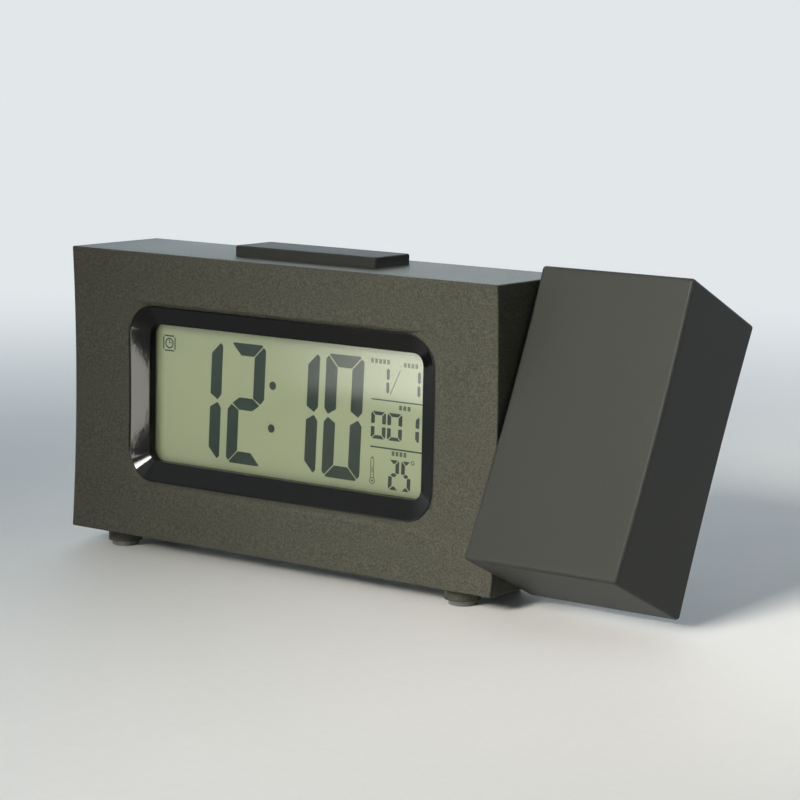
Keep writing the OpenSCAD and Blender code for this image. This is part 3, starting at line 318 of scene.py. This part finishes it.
def finished(name, bm, body, slot, finish=None, smooth=40.0):
    """A mesh piece on a body, in the finish of its material slot or in one of its own."""
    mesh = bpy.data.meshes.new(name)
    bm.to_mesh(mesh)
    bm.free()
    mesh.materials.append(FINISH[finish or slot])
    for face in mesh.polygons:
        face.use_smooth = True
        face.material_index = 0
    mesh.set_sharp_from_angle(angle=math.radians(smooth))
    piece = bpy.data.objects.new(name, mesh)
    bpy.context.scene.collection.objects.link(piece)
    even = piece.modifiers.new("even_shading", "WEIGHTED_NORMAL")
    even.keep_sharp = True
    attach(piece, body)
    return piece


def rounded_edges(bm, edges, width, segments):
    """Round edges by a width in millimetres, which isn't limited where edges lie close together."""
    bmesh.ops.bevel(bm, geom=edges, offset=width * MM, segments=segments, profile=0.5,
                    affect="EDGES", clamp_overlap=False, material=-1)


def merged_copy(node):
    """The node's solid as clean flat faces, ready for bevels."""
    bm = bmesh.new()
    bm.from_mesh(NODES[node].data)
    bmesh.ops.remove_doubles(bm, verts=bm.verts[:], dist=0.002 * MM)
    bmesh.ops.dissolve_limit(bm, angle_limit=math.radians(0.05), verts=bm.verts[:],
                             edges=bm.edges[:], delimit={"NORMAL"})
    bm.normal_update()
    return bm


def squared(bm, place, high, deep, reach):
    """Bring the small rounds along a box's four long edges back to sharp corners."""
    back = place.inverted()
    for vert in bm.verts:
        spot = (back @ vert.co) / MM
        for y in (0, deep):
            for z in (0, high):
                if abs(spot.y - y) < reach and abs(spot.z - z) < reach:
                    vert.co = place @ (Vector((spot.x, y, z)) * MM)
    bmesh.ops.remove_doubles(bm, verts=bm.verts[:], dist=0.01 * MM)
    bmesh.ops.dissolve_degenerate(bm, dist=0.01 * MM, edges=bm.edges[:])
    bm.normal_update()


def softened(name, node, body, slot, width, chosen, segments=3, corners=None, splits=()):
    """A copy of a node with rounded edges: the sharp ones whose two ends are both chosen.

    corners is a box whose own rounds are made sharp first, and splits are places across the
    body where its long flat faces are cut.
    """
    sharp_angle = math.radians(25)
    bm = merged_copy(node)
    if corners:
        squared(bm, *corners)
    for x in splits:
        bmesh.ops.bisect_plane(bm, geom=bm.verts[:] + bm.edges[:] + bm.faces[:], dist=0.001 * MM,
                               plane_co=(BODY_SHIFT + Vector((x, 0, 0))) * MM,
                               plane_no=(1, 0, 0))
    sharp = [e for e in bm.edges if len(e.link_faces) == 2 and e.calc_face_angle(0) > sharp_angle
             and all(chosen(v.co) for v in e.verts)]
    rounded_edges(bm, sharp, width, segments)
    piece = finished(name, bm, body, slot)
    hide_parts(node)


def in_body(co):
    """A place in the clock's frame, as millimetres in the body's frame."""
    return Vector(co) / MM - BODY_SHIFT


def in_arm(co):
    """A place in the clock's frame, as millimetres in the arm's frame."""
    return (ARM_PLACE.inverted() @ Vector(co)) / MM


def near(value, *marks):
    tolerance = 0.02
    return any(abs(value - mark) < tolerance for mark in marks)


# ---------------------------------------------------------------- housing

def box_edges(co):
    """The body's outline: its two ends and its four long edges."""
    place = in_body(co)
    return near(abs(place.x), BODY_W / 2) or (near(place.y, 0, BODY_D) and near(place.z, 0, BODY_H))


def arm_edges(co):
    """The arm's outline, without the opening of its cover."""
    rim_y, rim_z = 2.2, 0.8
    place = in_arm(co)
    outside = abs(place.y) > ARM_D / 2 - rim_y or abs(place.z) > ARM_L / 2 - rim_z
    long_edge = near(abs(place.y), ARM_D / 2) and near(abs(place.z), ARM_L / 2)
    return outside and (near(place.x, 0, ARM_W) or long_edge)


def rear_face(co):
    """The hollowed rear of the body."""
    margin = 0.1
    return in_body(co).y > BODY_D - REAR_DISH - margin


def rear_outline(co):
    """The rear cover's own outline, without its openings."""
    rim = 2.6
    place = in_body(co)
    outside = abs(place.x) > BODY_W / 2 - rim or place.z < rim or place.z > BODY_H - rim
    return outside and rear_face(co)


def behind_body(co):
    return in_body(co).y > BODY_D


def snooze_top(co):
    above_body = 1.5
    return in_body(co).z > BODY_H + above_body


def foot_sole(co):
    above_floor = 0.2
    return in_body(co).z < above_floor - FOOT_H


beside_window = WINDOW_W / 2 + BAND + 0.5
softened("case_front", "front_shell", "body", "body_plastic", 0.45, box_edges, corners=BODY_BOX,
         splits=(WINDOW_X - beside_window, WINDOW_X + beside_window))
softened("case_rear", "rear_cover", "body", "cover_plastic", 0.22, rear_outline, segments=2)
softened("battery_lid", "battery_door", "door", "cover_plastic", 0.12, rear_face, segments=2)
softened("arm_case", "arm_shell", "arm", "arm_plastic", 1.0, arm_edges, segments=5,
         corners=ARM_BOX)
softened("snooze_button", "snooze_bar", "snooze", "snooze_plastic", 0.5, snooze_top)
for key in ("mode", "set", "up", "down"):
    softened(key + "_button", key + "_key", key, "key_plastic", 0.4, behind_body)
softened("alarm_slider", "alarm_knob", "alarm", "key_plastic", 0.3, behind_body)
softened("foot_cushions", "foot_pads", "body", "pad_rubber", 0.35, foot_sole)


# ---------------------------------------------------------------- surround and glass

def closed_loop(bm, points):
    """The edges of a closed loop through points in the body's frame."""
    verts = [bm.verts.new((Vector(point) + BODY_SHIFT) * MM) for point in points]
    return [bm.edges.new(ends) for ends in zip(verts, verts[1:] + verts[:1])]


def window_loop(bm, wider, radius, depth):
    """A loop round the window, wider than it on each side, at a depth that may follow its place."""
    corner_steps, side_steps = 14, 16
    half_w, half_h = WINDOW_W / 2 + wider - radius, WINDOW_H / 2 + wider - radius
    arcs = []
    for turn, (side, up) in enumerate(((1, 1), (-1, 1), (-1, -1), (1, -1))):
        middle = Vector((WINDOW_X + side * half_w, 0, WINDOW_Z + up * half_h))
        angles = [math.pi / 2 * (turn + step / corner_steps) for step in range(corner_steps + 1)]
        arcs.append([middle + radius * Vector((math.cos(a), 0, math.sin(a))) for a in angles])
    points = []
    for arc, next_arc in zip(arcs, arcs[1:] + arcs[:1]):
        points += arc
        points += [arc[-1].lerp(next_arc[0], step / side_steps) for step in range(1, side_steps)]
    for point in points:
        point.y = depth(point) if callable(depth) else depth
    return closed_loop(bm, points)


def surround():
    """Glossy sloping frame round the window, with the hidden flange that carries the lens."""
    gap, rim, sunk, rim_round = 0.1, 0.35, 0.02, 0.14
    flange, flange_y = 2.0, FRONT_DISH + 2.2
    lens_lap, lens_rear = 2.6, LENS_Y + 1.0
    outer, outer_r = BAND - gap, WINDOW_R + BAND

    def face(point):
        """Depth of the body's hollowed front at a place, and a little more."""
        return FRONT_DISH * (1 - (2 * point.z / BODY_H - 1) ** 2) + sunk

    bm = bmesh.new()
    section = (
        (outer, outer_r, flange_y),
        (outer, outer_r, face),
        (outer - rim, outer_r - rim, face),
        (0, WINDOW_R, LIP_Y),
        (0, WINDOW_R, LENS_Y),
        (lens_lap, WINDOW_R, LENS_Y),
        (lens_lap, WINDOW_R, lens_rear),
        (outer + flange, WINDOW_R, lens_rear),
        (outer + flange, WINDOW_R, flange_y),
    )
    loops = [window_loop(bm, *corner) for corner in section]
    for one, other in zip(loops, loops[1:] + loops[:1]):
        bmesh.ops.bridge_loops(bm, edges=one + other)
    bmesh.ops.recalc_face_normals(bm, faces=bm.faces[:])
    rounded_edges(bm, [edge for loop in loops[1:4] for edge in loop], rim_round, 3)
    piece = finished("window_surround", bm, "body", "bezel_plastic", smooth=30)
    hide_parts("display_bezel")


def panel():
    """Front glass of the display, with the grey-green face seen behind it."""
    beside, below, above = WINDOW_W / 2 + 3.7, 24.3, 20.3
    low = Vector((WINDOW_X - beside, GLASS_Y, WINDOW_Z - below))
    high = Vector((WINDOW_X + beside, GLASS_Y + GLASS_T, WINDOW_Z + above))
    middle = Matrix.Translation(((low + high) / 2 + BODY_SHIFT) * MM)
    bm = bmesh.new()
    bmesh.ops.create_cube(bm, size=1.0, matrix=middle @ Matrix.Diagonal(((high - low) * MM).to_4d()))
    rounded_edges(bm, bm.edges[:], 0.12, 2)
    piece = finished("display_panel", bm, "body", "lcd_glass", finish="lcd_face")
    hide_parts("lcd_front_glass")


# ---------------------------------------------------------------- figures and marks

# Places on the display are millimetres from the body's right-hand end and above its bottom
FACE_RIGHT = BODY_W / 2
INK_Y, INK_T = GLASS_Y, 0.03


def ink(bm, *outlines):
    """A thin flat plate on the face of the display, inside one outline or between two."""
    edges = []
    for outline in outlines:
        edges += closed_loop(bm, [(x + FACE_RIGHT, INK_Y, z) for x, z in outline])
    fill = bmesh.ops.edgeloop_fill if len(outlines) == 1 else bmesh.ops.bridge_loops
    plate = bmesh.ops.extrude_face_region(bm, geom=fill(bm, edges=edges)["faces"])["geom"]
    bmesh.ops.translate(bm, vec=(0, -INK_T * MM, 0),
                        verts=[v for v in plate if isinstance(v, bmesh.types.BMVert)])


def printed(name, bm, finish):
    """Ink plates as one piece of the display, with their faces turned outwards."""
    bmesh.ops.recalc_face_normals(bm, faces=bm.faces[:])
    finished(name, bm, "body", "lcd_glass", finish=finish)


def bar(bm, left, bottom, right, top):
    ink(bm, [(left, bottom), (right, bottom), (right, top), (left, top)])


def stick(bm, left, bottom, top, width):
    """An upright stroke with pointed ends."""
    middle, right, point = left + width / 2, left + width, width / 2
    ink(bm, [(left, bottom + point), (middle, bottom), (right, bottom + point),
             (right, top - point), (middle, top), (left, top - point)])


def circle(x, z, radius, steps):
    turns = [2 * math.pi * step / steps for step in range(steps)]
    return [(x + radius * math.cos(turn), z + radius * math.sin(turn)) for turn in turns]


def ring(bm, x, z, radius, stroke, steps=28):
    ink(bm, circle(x, z, radius, steps), circle(x, z, radius - stroke, steps))


def dot(bm, x, z, radius, steps=24):
    ink(bm, circle(x, z, radius, steps))


def digit_segments(width, height, upright, level, gap, nib, cut):
    """Outlines of the seven segments of one digit, from its bottom left corner.

    upright and level are the widths of its strokes, nib is the length of their points at mid
    height, and cut is the size of the digit's cut corners.
    """
    half, skew, tip, tip_lift = height / 2, 0.7 * gap, upright / 3, 0.08

    def on_cut(side):
        """Where one side of the mitred gap between two strokes meets the cut corner."""
        return (upright - level + side + cut) / 2, height + (upright - level + side - cut) / 2

    def over(outline):
        return [(width - x, z) for x, z in outline]

    def under(outline):
        return [(x, height - z) for x, z in outline]

    left_upper = [(0, half + nib), (tip, half + gap + tip_lift), (upright, half + nib),
                  (upright, height - level - skew), on_cut(-skew), (0, height - cut)]
    top_left = [(upright + skew, height - level), on_cut(skew), (cut, height)]
    top = top_left + over(top_left)[::-1]
    end = [(upright + gap / 2, half - level / 2), (tip + gap, half),
           (upright + gap / 2, half + level / 2)]
    middle = end + over(end)[::-1]
    return {"a": top, "b": over(left_upper), "c": over(under(left_upper)), "d": under(top),
            "e": under(left_upper), "f": left_upper, "g": middle}


SEGMENTS_OF = {"0": "abcdef", "1": "bc", "2": "abged", "5": "afgcd"}


def digit(bm, figure, left, bottom, lean, height, **strokes):
    """One digit, whose top leans to the right."""
    segments = digit_segments(height=height, **strokes)
    for name in SEGMENTS_OF[figure]:
        ink(bm, [(left + x + lean * z / height, bottom + z) for x, z in segments[name]])


def time_digits():
    large = {"width": 12.6, "height": 33.4, "upright": 3.85, "level": 3.4, "gap": 0.3,
             "nib": 1.85, "cut": 1.4, "lean": 1.3}
    bm = bmesh.new()
    for figure, left in (("1", -108.15), ("2", -93.1), ("1", -74.65), ("0", -59.9)):
        digit(bm, figure, left, bottom=23.45, **large)
    for x, z in ((-76.85, 46.2), (-77.2, 34.45)):
        dot(bm, x, z, radius=1.15)
    printed("time_digits", bm, "segment_ink")


def alarm_mark(bm, x, z):
    """A dial with two hands, in a square outline with open corners, round a middle."""
    half, stroke, corner, dial = 2.25, 0.38, 0.5, 1.5
    hand, long_hand, short_hand = 0.12, 1.0, 0.8
    for side in (-1, 1):
        low, high = sorted((side * half, side * (half - stroke)))
        bar(bm, x + low, z - half + corner, x + high, z + half - corner)
        bar(bm, x - half + corner, z + low, x + half - corner, z + high)
    ring(bm, x, z, dial, stroke)
    bar(bm, x - hand, z, x + hand, z + long_hand)
    bar(bm, x + hand, z, x + short_hand, z + 2 * hand)


def date(bm, bottom):
    """Day and month, both 1, with a slash between them."""
    stroke, step, height, shift = 0.95, 3.5, 3.1, 0.1
    for left in (-38.85, -28.85):
        stick(bm, left, bottom, bottom + height, stroke)
        stick(bm, left + shift, bottom + step, bottom + step + height + shift, stroke)
    foot, top, slash, slash_h = -37.65, -34.5, 0.25, 6.5
    ink(bm, [(foot, bottom), (foot + slash, bottom), (top + slash, bottom + slash_h),
             (top, bottom + slash_h)])


def small_digits():
    """Alarm mark, date, a number for the weekday and temperature, with lines between them."""
    bm = bmesh.new()
    alarm_mark(bm, -113.7, 54.5)
    date(bm, bottom=47.95)
    for low, high in ((45.95, 46.3), (33.25, 33.65)):
        bar(bm, -43.7, low, -27.0, high)
    weekday = {"width": 4.8, "height": 7.3, "upright": 1.2, "level": 0.95, "gap": 0.28,
               "nib": 0.5, "cut": 0.6, "lean": 0.15}
    for figure, left in (("0", -43.7), ("0", -38.4), ("1", -32.9)):
        digit(bm, figure, left, bottom=35.65, **weekday)
    degrees = {"height": 8.0, "upright": 1.16, "level": 0.96, "gap": 0.3, "nib": 0.55,
               "cut": 0.45, "lean": 0.2}
    for figure, left, width in (("2", -37.8, 3.4), ("5", -33.7, 3.1)):
        digit(bm, figure, left, bottom=22.6, width=width, **degrees)
    printed("small_digits", bm, "segment_ink")


def thermometer(bm, x, z):
    """A bulb and a pointed tube, upwards from the bulb's middle."""
    bulb, bead, tube, stroke, high, point, sunk = 0.95, 0.34, 0.58, 0.24, 6.3, 0.3, 0.2
    column, column_low, column_high = 0.12, 2.2, 3.8
    ring(bm, x, z, bulb, stroke)
    dot(bm, x, z, bead, steps=16)
    for side in (-1, 1):
        left, right = sorted((side * tube, side * (tube - stroke)))
        bar(bm, x + left, z + bulb - sunk, x + right, z + high - point)
    ink(bm, [(x - tube, z + high - point), (x + tube, z + high - point), (x, z + high + point)])
    bar(bm, x - column, z + column_low, x + column, z + column_high)


def pale_marks():
    """The fainter marks, and a row of plain blocks for each caption."""
    block_h, block_share = 1.2, 0.68
    bm = bmesh.new()
    for left, right, bottom, count in ((-43.9, -37.4, 55.7, 5), (-33.3, -28.4, 55.4, 4),
                                       (-34.6, -30.5, 44.0, 3), (-36.7, -31.6, 31.7, 4)):
        step = (right - left) / count
        for k in range(count):
            bar(bm, left + k * step, bottom, left + (k + block_share) * step, bottom + block_h)
    ring(bm, -29.9, 30.45, 0.6, 0.26, steps=14)
    thermometer(bm, -43.0, 24.3)
    printed("pale_marks", bm, "pale_ink")


surround()
panel()
time_digits()
small_digits()
pale_marks()


# ---------------------------------------------------------------- floor and backdrop

BACKDROP = srgb(226, 231, 234)


def rays_that_show(tree):
    """Camera, mirror and see-through rays, which the pale backdrop is meant for."""
    path = tree.nodes.new("ShaderNodeLightPath").outputs
    mirrored = maths(tree, "MAXIMUM", path["Is Camera Ray"], path["Is Glossy Ray"])
    return maths(tree, "MAXIMUM", mirrored, path["Is Transmission Ray"])


def floor_paper():
    """Pale paper that runs into the backdrop away from the clock."""
    fade_from, fade_to = 0.16, 0.75
    material = moulded("floor_paper", srgb(238, 239, 240), grain=3.0, depth=0.0, spread=0.01,
                       drift=0.01, rough=(0.6, 0.7))
    tree = material.node_tree
    away = tree.nodes.new("ShaderNodeVectorMath")
    away.operation = "LENGTH"
    feed(tree, tree.nodes.new("ShaderNodeTexCoord").outputs["Object"], away.inputs[0])
    fade = faded(tree, away.outputs["Value"], fade_from, fade_to)
    glow = tree.nodes.new("ShaderNodeEmission")
    glow.inputs["Color"].default_value = BACKDROP
    blend = tree.nodes.new("ShaderNodeMixShader")
    feed(tree, maths(tree, "MULTIPLY", fade, rays_that_show(tree)), blend.inputs["Fac"])
    feed(tree, tree.nodes["Principled BSDF"].outputs[0], blend.inputs[1])
    feed(tree, glow.outputs[0], blend.inputs[2])
    feed(tree, blend.outputs[0], tree.nodes["Material Output"].inputs["Surface"])
    return material


def floor():
    half = 4.0
    bm = bmesh.new()
    bmesh.ops.create_grid(bm, x_segments=1, y_segments=1, size=half)
    mesh = bpy.data.meshes.new("studio_floor")
    bm.to_mesh(mesh)
    bm.free()
    mesh.materials.append(floor_paper())
    ground = bpy.data.objects.new("studio_floor", mesh)
    bpy.context.scene.collection.objects.link(ground)


def surroundings():
    world = bpy.data.worlds.new("studio")
    world.use_nodes = True
    bpy.context.scene.world = world
    tree = world.node_tree
    ambient = tree.nodes["Background"]
    ambient.inputs["Color"].default_value = (0.93, 0.97, 1.0, 1.0)
    ambient.inputs["Strength"].default_value = 0.2
    backdrop = tree.nodes.new("ShaderNodeBackground")
    backdrop.inputs["Color"].default_value = BACKDROP
    choice = tree.nodes.new("ShaderNodeMixShader")
    feed(tree, rays_that_show(tree), choice.inputs["Fac"])
    feed(tree, ambient.outputs[0], choice.inputs[1])
    feed(tree, backdrop.outputs[0], choice.inputs[2])
    feed(tree, choice.outputs[0], tree.nodes["World Output"].inputs["Surface"])


# ---------------------------------------------------------------- lamps and camera

# Lamps have their places and sizes in metres
MIDDLE = (0, 0, 0.04)


def lamp(name, place, aim, size, watts, colour, spread=180.0):
    data = bpy.data.lights.new(name, "AREA")
    data.spread = math.radians(spread)
    data.shape = "RECTANGLE"
    data.size, data.size_y = size
    data.energy = watts
    data.color = colour
    made = bpy.data.objects.new(name, data)
    made.location = place
    made.rotation_euler = (Vector(aim) - Vector(place)).to_track_quat("-Z", "Y").to_euler()
    bpy.context.scene.collection.objects.link(made)
    return made


def card(name, place, size, watts, dim_left, dim_low, colour):
    """A lit card that only shows in mirroring surfaces, dimmer towards its left and its bottom."""
    behind = Vector(place) + Vector((0, 1, 0))
    made = lamp(name, place, behind, size, watts, colour)
    made.visible_camera = made.visible_diffuse = made.visible_transmission = False
    made.data.use_nodes = True
    tree = made.data.node_tree
    split = tree.nodes.new("ShaderNodeSeparateXYZ")
    feed(tree, tree.nodes.new("ShaderNodeNewGeometry").outputs["Position"], split.inputs[0])
    left, low = place[0] - size[0] / 2, place[2] - size[1] / 2
    strength = maths(tree, "MULTIPLY",
                     faded(tree, split.outputs["X"], left, left + dim_left * size[0]),
                     faded(tree, split.outputs["Z"], low, low + dim_low * size[1]))
    glow = next(node for node in tree.nodes if node.bl_idname == "ShaderNodeEmission")
    feed(tree, strength, glow.inputs["Strength"])


def lamps():
    lamp("key_light", (-0.15, -1.1, 0.6), MIDDLE, size=(0.8, 0.6), watts=1.1,
         colour=(1.0, 0.98, 0.95))
    lamp("right_light", (0.02, -1.0, 0.5), (0.12, 0, 0.05), size=(0.3, 0.3), watts=0.56,
         colour=(1.0, 0.95, 0.85), spread=24)
    lamp("sky_light", (-1.2, 1.0, 0.7), MIDDLE, size=(1.4, 1.0), watts=3.6,
         colour=(0.55, 0.84, 1.0))
    lamp("rear_fill", (-0.5, 1.1, 0.35), MIDDLE, size=(0.9, 0.7), watts=2.2,
         colour=(0.9, 0.96, 1.0))
    card("lens_card", (-0.17, -0.255, 0.026), size=(0.13, 0.05), watts=0.17, dim_left=0.8,
         dim_low=0.2, colour=(1.0, 0.98, 0.9))
    card("edge_card", (-0.0615, -0.16, 0.028), size=(0.028, 0.054), watts=0.06, dim_left=0.3,
         dim_low=0.1, colour=(1.0, 0.97, 0.86))


def camera():
    """A camera turned about the clock, in degrees, millimetres and pixels of a square render."""
    azimuth, elevation, roll = map(math.radians, (35.796, 8.582, 1.068))
    focal_px, frame_px, distance = 2627.3, 800, 676.95
    aim = Vector((19.88, -18.0, 52.70))
    back = Vector((math.sin(azimuth) * math.cos(elevation),
                   -math.cos(azimuth) * math.cos(elevation), math.sin(elevation)))
    right = Vector((math.cos(azimuth), math.sin(azimuth), 0))
    up = back.cross(right)
    turned_right = math.cos(roll) * right + math.sin(roll) * up
    turned_up = math.cos(roll) * up - math.sin(roll) * right
    data = bpy.data.cameras.new("camera")
    data.sensor_width = 36.0
    data.lens = focal_px / frame_px * data.sensor_width
    data.clip_start, data.clip_end = 0.01, 20.0
    made = bpy.data.objects.new("camera", data)
    turn = Matrix((turned_right, turned_up, back)).transposed().to_4x4()
    made.matrix_world = Matrix.Translation((aim + back * distance) * MM) @ turn
    bpy.context.scene.collection.objects.link(made)
    bpy.context.scene.camera = made


floor()
surroundings()
lamps()
camera()
bpy.context.scene.view_settings.view_transform = "Standard"
